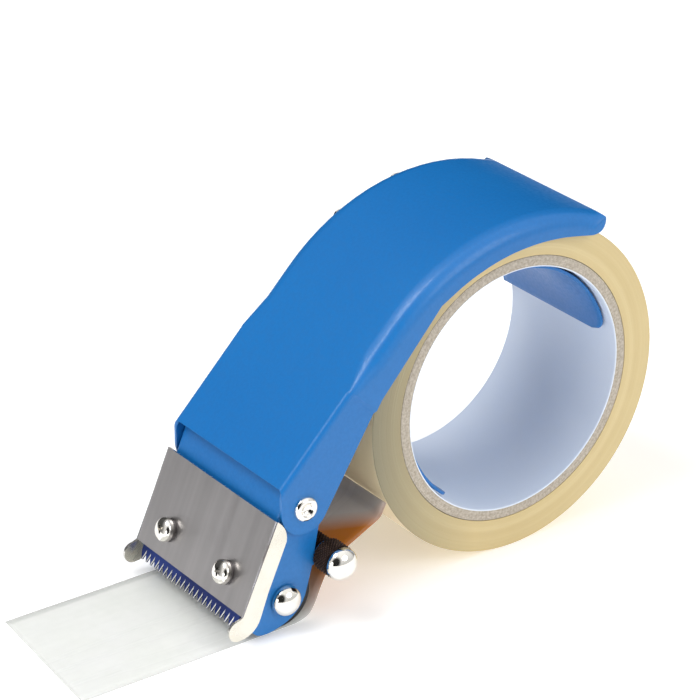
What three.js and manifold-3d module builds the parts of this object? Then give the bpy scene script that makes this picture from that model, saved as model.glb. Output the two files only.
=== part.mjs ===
// Hand-held dispenser for 50 mm packing tape, in millimetres, +Z up.
// A bent sheet handle carries the roll on two tabs. A small steel head is hinged to its
// front end and holds the guide roller, the press roller, the toothed blade and its cover.
// +X is the operator's right-hand side, the cutter faces -Y, and the roll turns about X.
// Side outlines are drawn as (Y, Z), with Y = 0 under the roll's centre and Z = 0 at rest.

import * as THREE from 'three';
import { mergeVertices } from 'three/addons/utils/BufferGeometryUtils.js';
import Module from 'manifold-3d';

const wasm = await Module();
wasm.setup();

// ---- driving dimensions -------------------------------------------------------------

const GAP = 0.3;                                   // clearance between touching pieces
const FACETS = 72;                                 // sides of a large circle
const SMALL_FACETS = 24;                           // sides of a shaft or a rivet

const ROLL = { radius: 51.5, coreOuter: 41.4, coreBore: 38, halfWidth: 24.75 };
ROLL.y = 0;
ROLL.z = ROLL.radius;                              // the roll rests on the table

const SHEET = 1.0;                                 // thickness of the painted sheet parts
const HANDLE = {
  halfWidth: 27.5,
  slopeDeg: 45.3,                                  // straight front part of the top plate
  slopeLength: 55.4,
  crown: { y: 3, z: 37.3, radius: 68.3 },          // round part of the top plate
  crownEndDeg: 70,                                 // where the rear flat leaves the crown
  rearY: 29.2,
};
const PIVOT = { y: -76.7, z: 38.1, lugRadius: 8, shaft: 2.2, bore: 2.5, head: 3.8 };

const HUB = { outerX: -26.2, bore: 39.7, ring: 45, saddle: 51.8, tab: 37.4, tabEndX: 21.5 };
const TABS_DEG = [[10.5, 93], [145, 236]];         // the two core tabs, from +Y upwards
const HUB_RIVETS_DEG = [70, 95, 120];
const HUB_RIVET_CIRCLE = 49.3;

const BRACKET = { halfWidth: 26.2, headRadius: 7.6, panelTop: 40 };
const FACE = { y: -98.6, z: 10.5, leanDeg: 23.5, length: 29.3 };   // the cover's front face
const COVER = { halfWidth: 28, sheet: 0.8 };
const BLADE = { sheet: 0.6, pitch: 2.3, teeth: 22, root: -2.2, tip: -4.8, top: 13.5 };
BLADE.depth = COVER.sheet + GAP;                   // how far the blade lies behind the face
const PANEL_DEPTH = BLADE.depth + BLADE.sheet + GAP;
const STRIP = { depth: PANEL_DEPTH + SHEET + GAP, sheet: 0.8, halfLength: 21, low: 4, high: 12.5 };
const SCREW = { x: 15, up: 8.3, shank: 1.8, bore: 2.1, head: 3.6, headHeight: 2.2, washer: 0.9 };

const PRESS = { y: -83.3, z: 10.5, radius: 9.8, halfWidth: 24.6, axle: 3, cap: 4.7 };
const GUIDE = { y: -68.5, z: 20.3, barrel: 4.2, knob: 5.2, axle: 2.2, bore: 2.5, ear: 3.9 };
GUIDE.knobStart = BRACKET.halfWidth + GAP;
GUIDE.knobEnd = 32.2;
GUIDE.capEnd = 36.9;

const TAPE = { sheet: 0.3, halfWidth: 24.6, endY: -149.5, cutSlant: 4 };
const SPRING = { coil: 4.6, wire: 0.6, halfLength: 8, turns: 6, leg: 9 };

const ORIGIN_Y = -(TAPE.endY + ROLL.radius) / 2;   // moves the origin to the middle of the base

// ---- helpers ------------------------------------------------------------------------

const rad = THREE.MathUtils.degToRad;
const ACROSS = new THREE.Matrix4().makeBasis(      // a side outline, extruded along X
  new THREE.Vector3(0, 1, 0), new THREE.Vector3(0, 0, 1), new THREE.Vector3(1, 0, 0));
const TURNED = new THREE.Matrix4().makeBasis(      // a lathe's own axis, laid along X
  new THREE.Vector3(0, 1, 0), new THREE.Vector3(1, 0, 0), new THREE.Vector3(0, 0, -1));
const FACE_UP = [Math.sin(rad(FACE.leanDeg)), Math.cos(rad(FACE.leanDeg))];
const FACE_IN = [FACE_UP[1], -FACE_UP[0]];

const paint = (color, roughness, metalness) =>
  new THREE.MeshStandardMaterial({ color, roughness, metalness });
const BLUE = paint(0x2f78c4, 0.45, 0);
const STEEL = paint(0x9a989b, 0.35, 1);
const CHROME = paint(0xe6e3dd, 0.12, 1);
const BLUED = paint(0x26346e, 0.3, 1);
const SPRING_STEEL = paint(0x8b8b8e, 0.3, 1);
const RUBBER = paint(0x1e1a1c, 0.75, 0);
const KNURL = paint(0x3a2420, 0.4, 0.8);
const BOARD = paint(0xc8beaf, 0.9, 0);
const AMBER = paint(0xe4d09e, 0.35, 0);
const FILM = paint(0xe6e8e6, 0.2, 0);

const outline = (points) => new THREE.Shape(points.map(([y, z]) => new THREE.Vector2(y, z)));

function across(shape, x0, x1, curveSegments = 6) {
  const settings = { depth: x1 - x0, bevelEnabled: false, curveSegments };
  return new THREE.ExtrudeGeometry(shape, settings).applyMatrix4(ACROSS).translate(x0, 0, 0);
}

// A turned piece: profile points are [x along the axis, radius].
function turned(profile, axis, facets = SMALL_FACETS) {
  const points = profile.map(([x, radius]) => new THREE.Vector2(radius, x));
  return new THREE.LatheGeometry(points, facets).applyMatrix4(TURNED)
    .translate(0, axis.y, axis.z);
}

function tube(inner, outer, x0, x1, axis, facets) {
  return turned([[x0, inner], [x0, outer], [x1, outer], [x1, inner], [x0, inner]], axis, facets);
}

function rod(radius, x0, x1, axis, facets) {
  return turned([[x0, 0], [x0, radius], [x1, radius], [x1, 0]], axis, facets);
}

function solid(geometry) {
  const bare = geometry.clone();
  bare.deleteAttribute('normal');
  bare.deleteAttribute('uv');
  const merged = mergeVertices(bare, 1e-4);
  return new wasm.Manifold(new wasm.Mesh({
    numProp: 3,
    vertProperties: new Float32Array(merged.attributes.position.array),
    triVerts: new Uint32Array(merged.index.array),
  }));
}

function geometryOf(manifold) {
  const mesh = manifold.getMesh();
  const geometry = new THREE.BufferGeometry();
  geometry.setAttribute('position', new THREE.BufferAttribute(mesh.vertProperties, 3));
  geometry.setIndex(new THREE.BufferAttribute(mesh.triVerts, 1));
  geometry.computeVertexNormals();
  return geometry;
}

const joined = (...pieces) => pieces.map(solid).reduce((whole, piece) => whole.add(piece));
const cut = (body, ...tools) =>
  tools.reduce((left, tool) => left.subtract(solid(tool)), body.subtract ? body : solid(body));

const model = new THREE.Group();
model.position.y = ORIGIN_Y;

function add(name, shape, material) {
  const geometry = shape.isBufferGeometry ? shape : geometryOf(shape);
  const mesh = new THREE.Mesh(geometry, material);
  mesh.name = name;
  model.add(mesh);
  return mesh;
}

// A point on the head's front: up along the face, and a depth behind it.
const facePoint = (up, depth) => [
  FACE.y + FACE_UP[0] * up + FACE_IN[0] * depth,
  FACE.z + FACE_UP[1] * up + FACE_IN[1] * depth,
];

const faceSlab = (low, high, depth, thickness, halfWidth) => across(outline([
  facePoint(low, depth), facePoint(high, depth),
  facePoint(high, depth + thickness), facePoint(low, depth + thickness),
]), -halfWidth, halfWidth);

// A piece turned about the face's normal; the profile is [height out of the face, radius].
function onFace(profile, x, up) {
  const points = profile.map(([height, radius]) => new THREE.Vector2(radius, height));
  const [y, z] = facePoint(up, 0);
  return new THREE.LatheGeometry(points, SMALL_FACETS)
    .rotateX(rad(180 - FACE.leanDeg)).translate(x, y, z);
}

const screwHoles = () => [-SCREW.x, SCREW.x].map((x) =>
  onFace([[-9, 0], [-9, SCREW.bore], [3, SCREW.bore], [3, 0]], x, SCREW.up));

// A strip of even thickness that follows a centre line of (Y, Z) points.
function strip(points, thickness) {
  const side = (sign) => points.map((point, i) => {
    const before = points[Math.max(i - 1, 0)];
    const after = points[Math.min(i + 1, points.length - 1)];
    const along = new THREE.Vector2().subVectors(after, before).normalize();
    const out = new THREE.Vector2(-along.y, along.x).multiplyScalar(sign * thickness / 2);
    return out.add(point);
  });
  return new THREE.Shape([...side(1), ...side(-1).reverse()]);
}

// ---- handle -------------------------------------------------------------------------

const slope = rad(HANDLE.slopeDeg);
const crown = HANDLE.crown;

// The top plate's line, pushed inwards by an offset and lengthened at both ends.
function plateLine(shape, inset, extra) {
  const radius = crown.radius - inset;
  const start = slope + Math.PI / 2;
  const end = rad(HANDLE.crownEndDeg);
  const length = HANDLE.slopeLength + extra;
  const startY = crown.y + radius * Math.cos(start);
  const startZ = crown.z + radius * Math.sin(start);
  shape.moveTo(startY - length * Math.cos(slope), startZ - length * Math.sin(slope));
  shape.lineTo(startY, startZ);
  shape.absarc(crown.y, crown.z, radius, start, end, true);
  const endY = crown.y + radius * Math.cos(end);
  const endZ = crown.z + radius * Math.sin(end);
  const rearY = HANDLE.rearY + extra;
  shape.lineTo(rearY, endZ - (rearY - endY) / Math.tan(end));
}

function handleShell() {
  const side = new THREE.Shape();
  plateLine(side, 0, 0);
  side.quadraticCurveTo(29.6, 98.6, 28.7, 97);     // rounded rear corner of the flange
  side.quadraticCurveTo(27.7, 95.3, 24.5, 95.5);
  side.splineThru([[13, 97.6], [2, 98], [-9, 96.6], [-20, 93.1], [-30, 88]]
    .map(([y, z]) => new THREE.Vector2(y, z)));
  side.lineTo(-50.8, 64.6);
  side.absarc(PIVOT.y, PIVOT.z, PIVOT.lugRadius, rad(-33), rad(-180), true);

  const inside = new THREE.Shape();
  plateLine(inside, SHEET, 8);
  inside.lineTo(HANDLE.rearY + 8, 0);
  inside.lineTo(PIVOT.y - 30, 0);

  const inner = HANDLE.halfWidth - SHEET;
  const rivetHoles = HUB_RIVETS_DEG.map((deg) => rod(1.8, -40, -20, rivetAxis(deg)));
  return cut(across(side, -HANDLE.halfWidth, HANDLE.halfWidth, 8),
    across(inside, -inner, inner, 8), rod(PIVOT.bore, -40, 40, PIVOT), ...rivetHoles);
}

const rivetAxis = (deg) => ({
  y: ROLL.y + HUB_RIVET_CIRCLE * Math.cos(rad(deg)),
  z: ROLL.z + HUB_RIVET_CIRCLE * Math.sin(rad(deg)),
});

function sector(inner, outer, fromDeg, toDeg) {
  const shape = new THREE.Shape();
  shape.absarc(ROLL.y, ROLL.z, outer, rad(fromDeg), rad(toDeg), false);
  shape.absarc(ROLL.y, ROLL.z, inner, rad(toDeg), rad(fromDeg), true);
  return shape;
}

// A core tab: a strip of the ring's bore, bent along X, with its free corners rounded.
function coreTab(fromDeg, toDeg) {
  const corner = 5;
  const blank = solid(across(sector(HUB.tab - SHEET, HUB.tab, fromDeg, toDeg),
    HUB.outerX, HUB.tabEndX, 9));
  const middle = rad((fromDeg + toDeg) / 2);
  const reach = HUB.tab * Math.sin(rad((toDeg - fromDeg) / 2));
  const plan = new THREE.Shape();
  plan.moveTo(-reach - 1, HUB.outerX - 1);
  plan.lineTo(reach + 1, HUB.outerX - 1);
  plan.lineTo(reach, HUB.tabEndX - corner);
  plan.quadraticCurveTo(reach, HUB.tabEndX, reach - corner, HUB.tabEndX);
  plan.lineTo(corner - reach, HUB.tabEndX);
  plan.quadraticCurveTo(-reach, HUB.tabEndX, -reach, HUB.tabEndX - corner);
  const stencil = new THREE.ExtrudeGeometry(plan, { depth: 60, bevelEnabled: false, curveSegments: 4 })
    .applyMatrix4(new THREE.Matrix4().makeBasis(
      new THREE.Vector3(0, -Math.sin(middle), Math.cos(middle)),
      new THREE.Vector3(1, 0, 0),
      new THREE.Vector3(0, Math.cos(middle), Math.sin(middle))))
    .translate(0, ROLL.y, ROLL.z);
  return blank.intersect(solid(stencil));
}

function rollHubPlate() {
  const x0 = HUB.outerX;
  const x1 = HUB.outerX + SHEET;
  const ring = tube(HUB.bore, HUB.ring, x0, x1, ROLL, FACETS);
  const saddle = across(sector(HUB.ring - 1, HUB.saddle, 64, 127), x0, x1, 9);
  let plate = joined(ring, saddle);
  for (const [fromDeg, toDeg] of TABS_DEG) {
    const root = across(sector(HUB.tab - SHEET, HUB.bore + 1, fromDeg, toDeg), x0, x1, 9);
    plate = plate.add(solid(root)).add(coreTab(fromDeg, toDeg));
  }
  return cut(plate, ...HUB_RIVETS_DEG.map((deg) => rod(1.8, -40, -20, rivetAxis(deg))));
}

add('handle_shell', handleShell(), BLUE);
add('roll_hub_plate', rollHubPlate(), BLUE);

const flangeOuter = HANDLE.halfWidth + GAP;
['front', 'middle', 'rear'].forEach((place, i) => {
  const axis = rivetAxis(HUB_RIVETS_DEG[HUB_RIVETS_DEG.length - 1 - i]);
  add(`hub_rivet_${place}`, turned([
    [-flangeOuter - 1.1, 0], [-flangeOuter - 1, 1.2], [-flangeOuter - 0.5, 2.2], [-flangeOuter, 2.6],
    [-flangeOuter, 1.5], [HUB.outerX + SHEET, 1.5], [HUB.outerX + SHEET, 0],
  ], axis, 20), CHROME);
});

// The pivot is a hollow rivet whose two ends are rolled over.
const pivotEnd = flangeOuter + 1.3;
add('pivot_shaft', turned([
  [-pivotEnd, 1.3], [-pivotEnd - 0.2, 2.2], [-pivotEnd + 0.2, 3.2], [-flangeOuter, PIVOT.head],
  [-flangeOuter, PIVOT.shaft], [flangeOuter, PIVOT.shaft],
  [flangeOuter, PIVOT.head], [pivotEnd - 0.2, 3.2], [pivotEnd + 0.2, 2.2], [pivotEnd, 1.3],
  [-pivotEnd, 1.3],
], PIVOT), CHROME);
add('pivot_sleeve', tube(PIVOT.bore, 3.5, -24.9, 24.9, PIVOT), SPRING_STEEL);

function returnSpring() {
  const stepsPerTurn = 12;
  const legSteps = 3;
  const { coil, leg, halfLength, turns } = SPRING;
  const start = rad(52);                           // the first leg lies along the top plate
  const end = start + turns * 2 * Math.PI + rad(105);
  const steps = Math.round((end - start) / (2 * Math.PI) * stepsPerTurn);
  const around = (angle, x, lead) => new THREE.Vector3(x,
    PIVOT.y + coil * Math.cos(angle) - lead * Math.sin(angle),
    PIVOT.z + coil * Math.sin(angle) + lead * Math.cos(angle));
  const points = [];
  for (let i = legSteps; i > 0; i--) points.push(around(start, -halfLength, -leg * i / legSteps));
  for (let i = 0; i <= steps; i++) {
    points.push(around(start + (end - start) * i / steps,
      -halfLength + 2 * halfLength * i / steps, 0));
  }
  for (let i = 1; i <= legSteps; i++) points.push(around(end, halfLength, leg * i / legSteps));
  const section = new THREE.Shape();
  section.absarc(0, 0, SPRING.wire, 0, 2 * Math.PI, false);
  return new THREE.ExtrudeGeometry(section, {
    extrudePath: new THREE.CatmullRomCurve3(points), steps: points.length, curveSegments: 4,
  });
}
add('head_return_spring', returnSpring(), SPRING_STEEL);

// ---- head ---------------------------------------------------------------------------

function headBracket() {
  const side = new THREE.Shape();
  side.moveTo(...facePoint(0, PANEL_DEPTH));
  side.lineTo(...facePoint(BRACKET.panelTop, PANEL_DEPTH));
  side.absarc(PIVOT.y, PIVOT.z, BRACKET.headRadius, rad(85), rad(-38), true);
  side.lineTo(-73.9, 17.4);
  side.lineTo(-76.2, 9.6);
  side.quadraticCurveTo(-78.4, 4, -84.5, 2.2);
  side.quadraticCurveTo(-93, -0.4, -94.6, 4);

  const behindPanel = PANEL_DEPTH + SHEET;
  const inside = outline([facePoint(-20, behindPanel), facePoint(70, behindPanel), [-40, 80], [-40, -20]]);
  const inner = BRACKET.halfWidth - SHEET;
  const neck = outline([[-75.5, 18.3], [-71, 18.3], [-71, 22.3], [-75, 22.3]]);
  const ears = [-BRACKET.halfWidth, inner].map((x) =>
    joined(rod(GUIDE.ear, x, x + SHEET, GUIDE), across(neck, x, x + SHEET)));
  const channel = cut(across(side, -BRACKET.halfWidth, BRACKET.halfWidth),
    across(inside, -inner, inner));
  return cut(ears.reduce((whole, ear) => whole.add(ear), channel),
    rod(PIVOT.bore, -40, 40, PIVOT), rod(GUIDE.bore, -40, 40, GUIDE),
    rod(PRESS.axle + GAP, -40, 40, PRESS), ...screwHoles());
}

// The cover's side flange runs down its edge and ends in a round foot ahead of the blade.
function coverFlange() {
  const side = new THREE.Shape();
  side.moveTo(...facePoint(0, 0));
  side.lineTo(...facePoint(FACE.length, 0));
  side.lineTo(-86.2, 37);
  side.quadraticCurveTo(-82.8, 34, -83.5, 30);
  side.lineTo(-90, 15.6);
  side.lineTo(-92.5, 8.9);
  side.quadraticCurveTo(-94.4, 3.5, -100.2, 3.5);
  side.absarc(-100.2, 6.7, 3.2, rad(-90), rad(-270), true);
  return side;
}

function bladeCover() {
  const side = coverFlange();
  const inner = COVER.halfWidth - COVER.sheet;
  const inside = outline([facePoint(-20, COVER.sheet), facePoint(50, COVER.sheet), [-40, 60], [-40, -20]]);
  const whole = cut(across(side, -COVER.halfWidth, COVER.halfWidth), across(inside, -inner, inner),
    faceSlab(-20, 0, -12, 12.8, inner));
  return cut(whole, ...screwHoles());
}

function blade() {
  const half = BLADE.pitch * BLADE.teeth / 2;
  const shape = new THREE.Shape();
  shape.moveTo(-half, BLADE.root);
  for (let i = 0; i < BLADE.teeth; i++) {
    shape.lineTo(-half + (i + 0.5) * BLADE.pitch, BLADE.tip);
    shape.lineTo(-half + (i + 1) * BLADE.pitch, BLADE.root);
  }
  shape.lineTo(half, BLADE.top);
  shape.lineTo(-half, BLADE.top);
  const [y, z] = facePoint(0, BLADE.depth + BLADE.sheet);
  const onEdge = new THREE.ExtrudeGeometry(shape, { depth: BLADE.sheet, bevelEnabled: false })
    .rotateX(rad(90 - FACE.leanDeg)).translate(0, y, z);
  return cut(onEdge, ...screwHoles());
}

add('head_bracket', headBracket(), BLUE);
add('blade_cover', bladeCover(), STEEL);
add('blade', blade(), BLUED);
add('blade_backing_strip', cut(
  faceSlab(STRIP.low, STRIP.high, STRIP.depth, STRIP.sheet, STRIP.halfLength), ...screwHoles()), STEEL);

for (const [side, x] of [['left', -SCREW.x], ['right', SCREW.x]]) {
  const seat = GAP + SCREW.washer + GAP;
  const shankEnd = -STRIP.depth - STRIP.sheet;
  add(`blade_screw_${side}`, onFace([
    [shankEnd, 0], [shankEnd, SCREW.shank], [seat, SCREW.shank], [seat, SCREW.head], [seat + 1, SCREW.head],
    [seat + SCREW.headHeight - 0.5, 2.8], [seat + SCREW.headHeight, 1.6], [seat + SCREW.headHeight, 0],
  ], x, SCREW.up), CHROME);
  add(`screw_washer_${side}`, onFace([
    [GAP, SCREW.bore], [GAP, 3.3], [GAP + SCREW.washer, 3.3], [GAP + SCREW.washer, SCREW.bore],
    [GAP, SCREW.bore],
  ], x, SCREW.up), SPRING_STEEL);
}

add('press_axle', rod(PRESS.axle, -BRACKET.halfWidth, BRACKET.halfWidth, PRESS), CHROME);
const domed = (radius, from, to) => [[from, 0], [from, radius], [from + 0.8, radius],
  [from + 0.8 + (to - from) * 0.35, radius * 0.9], [to - 0.6, radius * 0.62], [to, radius * 0.25], [to, 0]];
const mirrored = (profile, sign) =>
  (sign > 0 ? profile : profile.map(([x, radius]) => [-x, radius]).reverse());

for (const [side, sign] of [['left', -1], ['right', 1]]) {
  add(`press_axle_cap_${side}`,
    turned(mirrored(domed(PRESS.cap, BRACKET.halfWidth + GAP, 30.4), sign), PRESS), CHROME);
}

// ---- rollers ------------------------------------------------------------------------

add('press_roller_sleeve', tube(4.4, PRESS.radius, -PRESS.halfWidth, PRESS.halfWidth, PRESS, 64), RUBBER);
add('press_roller_tube', tube(PRESS.axle + GAP, 4.1, -PRESS.halfWidth, PRESS.halfWidth, PRESS), STEEL);

add('guide_axle', rod(GUIDE.axle, -GUIDE.knobEnd, GUIDE.knobEnd, GUIDE), STEEL);
add('guide_roller_barrel', tube(GUIDE.bore, GUIDE.barrel, -24.8, 24.8, GUIDE), KNURL);
for (const [side, sign] of [['left', -1], ['right', 1]]) {
  const [x0, x1] = sign > 0 ? [GUIDE.knobStart, GUIDE.knobEnd] : [-GUIDE.knobEnd, -GUIDE.knobStart];
  add(`guide_knob_${side}`, tube(GUIDE.bore, GUIDE.knob, x0, x1, GUIDE), KNURL);
  add(`guide_cap_${side}`,
    turned(mirrored(domed(GUIDE.knob - 0.1, GUIDE.knobEnd + GAP, GUIDE.capEnd), sign), GUIDE), CHROME);
}

// ---- tape ---------------------------------------------------------------------------

add('paper_core', tube(ROLL.coreBore, ROLL.coreOuter, -ROLL.halfWidth, ROLL.halfWidth, ROLL, FACETS), BOARD);
add('tape_wound', tube(ROLL.coreOuter + GAP, ROLL.radius, -ROLL.halfWidth, ROLL.halfWidth, ROLL, FACETS), AMBER);

// Tape leaves the front of the roll, bends over the guide roller's rear and drops behind the
// press roller to the table, where its free end lies with the sticky side down.
const vectors = (points) => points.map(([y, z]) => new THREE.Vector2(y, z));
const web = new THREE.SplineCurve(vectors([
  [-46.3, 27], [-52.5, 24.6], [-58.6, 22.1], [-62.2, 19.8], [-64.9, 17.1], [-66.6, 14.9]]));
add('tape_web', across(strip(web.getPoints(16), TAPE.sheet), -TAPE.halfWidth, TAPE.halfWidth), FILM);

const floorLine = TAPE.sheet / 2;
const drop = new THREE.SplineCurve(vectors([
  [-67, 14.3], [-69.6, 9.4], [-72, 3.9], [-74.2, 1.2], [-78, floorLine]]));
const tail = [...drop.getPoints(16), new THREE.Vector2(TAPE.endY, floorLine)];
const snip = new THREE.ExtrudeGeometry(outline([
  [-TAPE.halfWidth - 1, TAPE.endY + TAPE.cutSlant], [-TAPE.halfWidth - 1, TAPE.endY - 1],
  [TAPE.halfWidth, TAPE.endY - 1], [TAPE.halfWidth, TAPE.endY],
]), { depth: 4, bevelEnabled: false }).translate(0, 0, -2);
add('tape_tail', cut(across(strip(tail, TAPE.sheet), -TAPE.halfWidth, TAPE.halfWidth), snip), FILM);

export default model;
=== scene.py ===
# %% [markdown]
# # A hand-held packing tape dispenser
# The engineer's model of the dispenser is loaded first. It holds every size, joint and clearance,
# and nothing in this lesson moves it. Each cell below then makes one visible piece or one finish,
# in metres, in the same frame: +X is the operator's right, -Y is the way the tape is laid, +Z is up.

# %% Load the fixed model
import math
import random

import bmesh
import bpy
from mathutils import Matrix, Vector


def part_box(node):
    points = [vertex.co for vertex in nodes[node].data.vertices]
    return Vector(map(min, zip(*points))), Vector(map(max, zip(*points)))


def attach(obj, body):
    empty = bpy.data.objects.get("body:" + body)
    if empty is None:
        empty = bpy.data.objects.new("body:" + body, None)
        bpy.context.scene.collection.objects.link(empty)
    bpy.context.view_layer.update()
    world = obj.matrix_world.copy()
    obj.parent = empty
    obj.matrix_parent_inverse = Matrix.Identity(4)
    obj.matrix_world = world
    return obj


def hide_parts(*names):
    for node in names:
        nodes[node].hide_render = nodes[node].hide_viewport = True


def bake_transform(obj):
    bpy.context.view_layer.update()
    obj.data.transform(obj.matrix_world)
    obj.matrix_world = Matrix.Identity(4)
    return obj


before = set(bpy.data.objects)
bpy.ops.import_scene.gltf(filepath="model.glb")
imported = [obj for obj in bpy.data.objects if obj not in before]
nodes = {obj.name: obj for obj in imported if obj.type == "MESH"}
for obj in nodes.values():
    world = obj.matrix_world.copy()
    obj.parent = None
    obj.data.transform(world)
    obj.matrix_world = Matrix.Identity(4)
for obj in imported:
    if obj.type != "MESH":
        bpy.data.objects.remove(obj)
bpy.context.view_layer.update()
random.seed(7)

# %% [markdown]
# Measurements are easier to read in millimetres, so one helper turns a place in millimetres into
# metres. Heights start at the table. Lengths along Y are counted from the roll's axis, because the
# whole dispenser is laid out around its roll, and that axis is read from the loaded model.

# %% Places that the pieces share
MM = 0.001


def middle(node):
    low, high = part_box(node)
    return (low + high) / 2


ROLL = middle("tape_wound")
GUIDE = middle("guide_roller_barrel")
PRESS = middle("press_roller_sleeve")
PIVOT = middle("pivot_shaft")
ROLL_RADIUS = (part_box("tape_wound")[1].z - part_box("tape_wound")[0].z) / 2


def at(x, y, z):
    """A place in millimetres, with y counted from the roll's axis."""
    return Vector((x * MM, ROLL.y + y * MM, z * MM))


print("roll radius %.1f mm, pivot %.1f mm above the table" % (ROLL_RADIUS / MM, PIVOT.z / MM))

# %% [markdown]
# ## Camera
# The tool is looked at from some way off with a long lens, so that the far side of the handle looks
# nearly as wide as the near side. The camera stands in front, to the right and above.

# %% Camera
CAMERA_PLACE = at(634.4, -495.0, 445.3)
CAMERA_BACK = Vector((0.73175, -0.52309, 0.43694))
CAMERA_ROLL = math.radians(-0.23)

camera = bpy.data.objects.new("camera", bpy.data.cameras.new("camera"))
camera.data.sensor_width = 36.0
camera.data.lens = 154.9
camera.data.clip_end = 20
camera.rotation_mode = "QUATERNION"
camera.rotation_quaternion = ((-CAMERA_BACK).to_track_quat("-Z", "Y")
                              @ Matrix.Rotation(CAMERA_ROLL, 4, "Z").to_quaternion())
camera.location = CAMERA_PLACE
bpy.context.scene.collection.objects.link(camera)
bpy.context.scene.camera = camera
print("camera %.2f m from the roll" % (CAMERA_PLACE - ROLL).length)

# %% [markdown]
# ## Writing shader maths as sums
# A finish is easier to read as a sum than as a picture of wires. This small class holds one socket,
# and each operator adds the Math node that does that sum. The finish class owns one material and
# makes every other kind of node through a single method.

# %% Sockets that can be added and multiplied


class Wire:
    """One output socket. Arithmetic on it adds Math nodes."""

    def __init__(self, tree, socket):
        self.tree = tree
        self.socket = socket

    def maths(self, operation, first, second):
        node = self.tree.nodes.new("ShaderNodeMath")
        node.operation = operation
        plug(self.tree, node.inputs[0], first)
        plug(self.tree, node.inputs[1], second)
        return Wire(self.tree, node.outputs[0])

    def __add__(self, other):
        return self.maths("ADD", self, other)

    def __sub__(self, other):
        return self.maths("SUBTRACT", self, other)

    def __rsub__(self, other):
        return self.maths("SUBTRACT", other, self)

    def __mul__(self, other):
        return self.maths("MULTIPLY", self, other)

    def __rmul__(self, other):
        return self.maths("MULTIPLY", other, self)

    def __truediv__(self, other):
        return self.maths("DIVIDE", self, other)

    def __lt__(self, other):
        return self.maths("LESS_THAN", self, other)


def plug(tree, socket, value):
    """Links a Wire to a socket, or sets the socket's own value."""
    if isinstance(value, Wire):
        tree.links.new(value.socket, socket)
    else:
        socket.default_value = value


def colour(code):
    """Linear red, green, blue and alpha from a six-digit screen colour."""
    shares = [int(code[i:i + 2], 16) / 255 for i in (0, 2, 4)]
    linear = [s / 12.92 if s <= 0.04045 else ((s + 0.055) / 1.055) ** 2.4 for s in shares]
    return (*linear, 1.0)


class Finish:
    """One material with a Principled shader, and helpers that add nodes in front of it."""

    def __init__(self, name, **constants):
        self.material = bpy.data.materials.new(name)
        self.material.use_nodes = True
        self.tree = self.material.node_tree
        self.shader = self.tree.nodes["Principled BSDF"]
        self.place = self.node("ShaderNodeTexCoord", out="Object")
        self.set(**constants)

    def node(self, kind, settings=None, sockets=None, out=0):
        node = self.tree.nodes.new(kind)
        for key, value in (settings or {}).items():
            if key == "stops":
                ramp = node.color_ramp.elements
                while len(ramp) < len(value):
                    ramp.new(0.5)
                for element, (position, shade) in zip(ramp, value):
                    element.position, element.color = position, shade
            else:
                setattr(node, key, value)
        for key, value in (sockets or {}).items():
            plug(self.tree, node.inputs[key], value)
        return Wire(self.tree, node.outputs[out])

    def set(self, **values):
        """Sets the shader's sockets; a name's underscores stand for spaces."""
        for key, value in values.items():
            plug(self.tree, self.shader.inputs[key.replace("_", " ")], value)
        return self

    def mapped(self, scale=(1, 1, 1), turn=(0, 0, 0), move=(0, 0, 0)):
        return self.node("ShaderNodeMapping", sockets={
            "Vector": self.place, "Scale": scale, "Rotation": turn, "Location": move})

    def noise(self, scale, detail=2.0, vector=None, roughness=0.5):
        return self.node("ShaderNodeTexNoise", sockets={
            "Vector": vector or self.place, "Scale": scale, "Detail": detail, "Roughness": roughness})

    def spread(self, value, from_low, from_high, low, high):
        """Stretches a value from one range to another, held at the ends."""
        return self.node("ShaderNodeMapRange", sockets={
            "Value": value, "From Min": from_low, "From Max": from_high, "To Min": low, "To Max": high})

    def blend(self, share, first, second):
        return self.node("ShaderNodeMix", {"data_type": "RGBA"},
                         {0: share, 6: first, 7: second}, out=2)

    def along(self, axis):
        """One coordinate of the place, by its letter."""
        return self.node("ShaderNodeSeparateXYZ", sockets={0: self.place}, out=axis)

    def radius_from(self, centre):
        """Distance from an axis that runs along X through a place."""
        apart = self.node("ShaderNodeVectorMath", {"operation": "SUBTRACT"},
                          {0: self.place, 1: (0, centre.y, centre.z)})
        flat = self.node("ShaderNodeVectorMath", {"operation": "MULTIPLY"}, {0: apart, 1: (0, 1, 1)})
        return self.node("ShaderNodeVectorMath", {"operation": "LENGTH"}, {0: flat}, out="Value")

    def bump(self, height, distance, strength=1.0):
        self.set(Normal=self.node("ShaderNodeBump", sockets={
            "Height": height, "Distance": distance, "Strength": strength}))
        return self


print("shader helpers ready")

# %% [markdown]
# ## Blue powder coat
# The handle, the bracket and the hub plate are bent from steel sheet and powder coated. The coat is
# smooth and half glossy with a faint orange peel, which a very shallow bump gives. A slow drift in
# tone keeps the wide faces from looking like flat plastic.

# %% Blue powder coat


def powder_coat():
    finish = Finish("blue_powder_coat", IOR=1.5, Coat_Roughness=0.12, Specular_IOR_Level=0.4)
    drift = finish.spread(finish.noise(14.0, 3.0), 0.3, 0.7, 0.0, 1.0)
    speck = finish.spread(finish.noise(900.0, 2.0), 0.35, 0.65, 0.0, 1.0)
    tone = finish.blend(drift, colour("126CB4"), colour("1672BA"))
    tone = finish.blend(speck * 0.16, tone, colour("0F5A98"))
    finish.set(Base_Color=tone, Roughness=finish.spread(speck, 0, 1, 0.34, 0.44), Coat_Weight=0.15)
    return finish.bump(finish.noise(620.0, 1.0) + 0.4 * finish.noise(1500.0, 1.0), 0.00006, 0.5).material


BLUE = powder_coat()
print("made", BLUE.name)

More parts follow.
